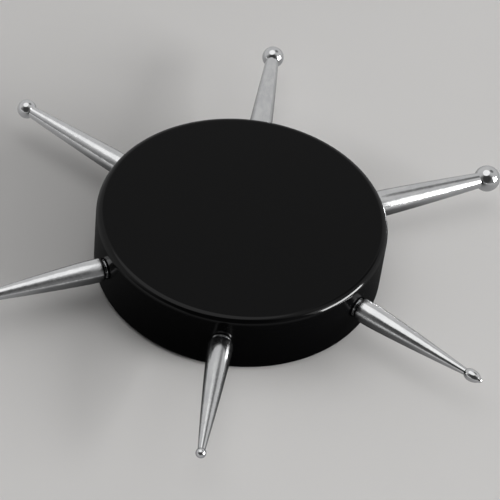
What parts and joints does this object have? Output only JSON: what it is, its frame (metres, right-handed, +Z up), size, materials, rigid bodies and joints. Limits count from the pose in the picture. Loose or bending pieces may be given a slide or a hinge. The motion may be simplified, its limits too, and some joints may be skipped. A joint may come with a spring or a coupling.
{
  "type": "radial pin holder",
  "caption": "Round glossy black holder with tapered, ball-ended steel pins plugged into sockets around its rim; each pin draws straight out.",
  "frame": {"origin": "centre of the flat base, on the surface that the holder rests on", "axes": "+Z up through the middle of the case; +X midway between the large-ball pin at 30 degrees and the bud pin at -30 degrees"},
  "size_m": [0.053, 0.0604, 0.0071],
  "materials": {
    "black_gloss": "moulded black plastic, polished to a high gloss",
    "grey_moulding": "moulded, fine matt texture",
    "brass": "turned",
    "nickel_plate": "nickel plate over the magnet, satin bright",
    "plain_steel": "plain rolled",
    "polished_steel": "turned and polished bright, with fine lathe marks"
  },
  "bodies": {
    "puck": {"case_shell": "black_gloss", "base_cover": "black_gloss", "socket_hub": "grey_moulding", "keeper_plate": "plain_steel", "core_magnet": "nickel_plate", "socket_bush_1": "brass", "socket_bush_2": "brass", "socket_bush_3": "brass", "socket_bush_4": "brass", "socket_bush_5": "brass", "socket_bush_6": "brass"},
    "large_pin": {"pin_ball_large": "polished_steel"},
    "medium_pin": {"pin_ball_medium": "polished_steel"},
    "small_pin": {"pin_ball_small": "polished_steel"},
    "slim_pin": {"pin_ball_slim": "polished_steel"},
    "fine_pin": {"pin_ball_fine": "polished_steel"},
    "bud_pin": {"pin_bud": "polished_steel"}
  },
  "joints": [
    {"name": "large_pin_pull", "type": "slide", "parent": "puck", "child": "large_pin", "axis": [0.866, 0.5, 0], "range_m": [0, 0.007]},
    {"name": "medium_pin_pull", "type": "slide", "parent": "puck", "child": "medium_pin", "axis": [0, 1, 0], "range_m": [0, 0.007]},
    {"name": "small_pin_pull", "type": "slide", "parent": "puck", "child": "small_pin", "axis": [-0.866, 0.5, 0], "range_m": [0, 0.007]},
    {"name": "slim_pin_pull", "type": "slide", "parent": "puck", "child": "slim_pin", "axis": [-0.866, -0.5, 0], "range_m": [0, 0.007]},
    {"name": "fine_pin_pull", "type": "slide", "parent": "puck", "child": "fine_pin", "axis": [0, -1, 0], "range_m": [0, 0.007]},
    {"name": "bud_pin_pull", "type": "slide", "parent": "puck", "child": "bud_pin", "axis": [0.866, -0.5, 0], "range_m": [0, 0.007]}
  ]
}
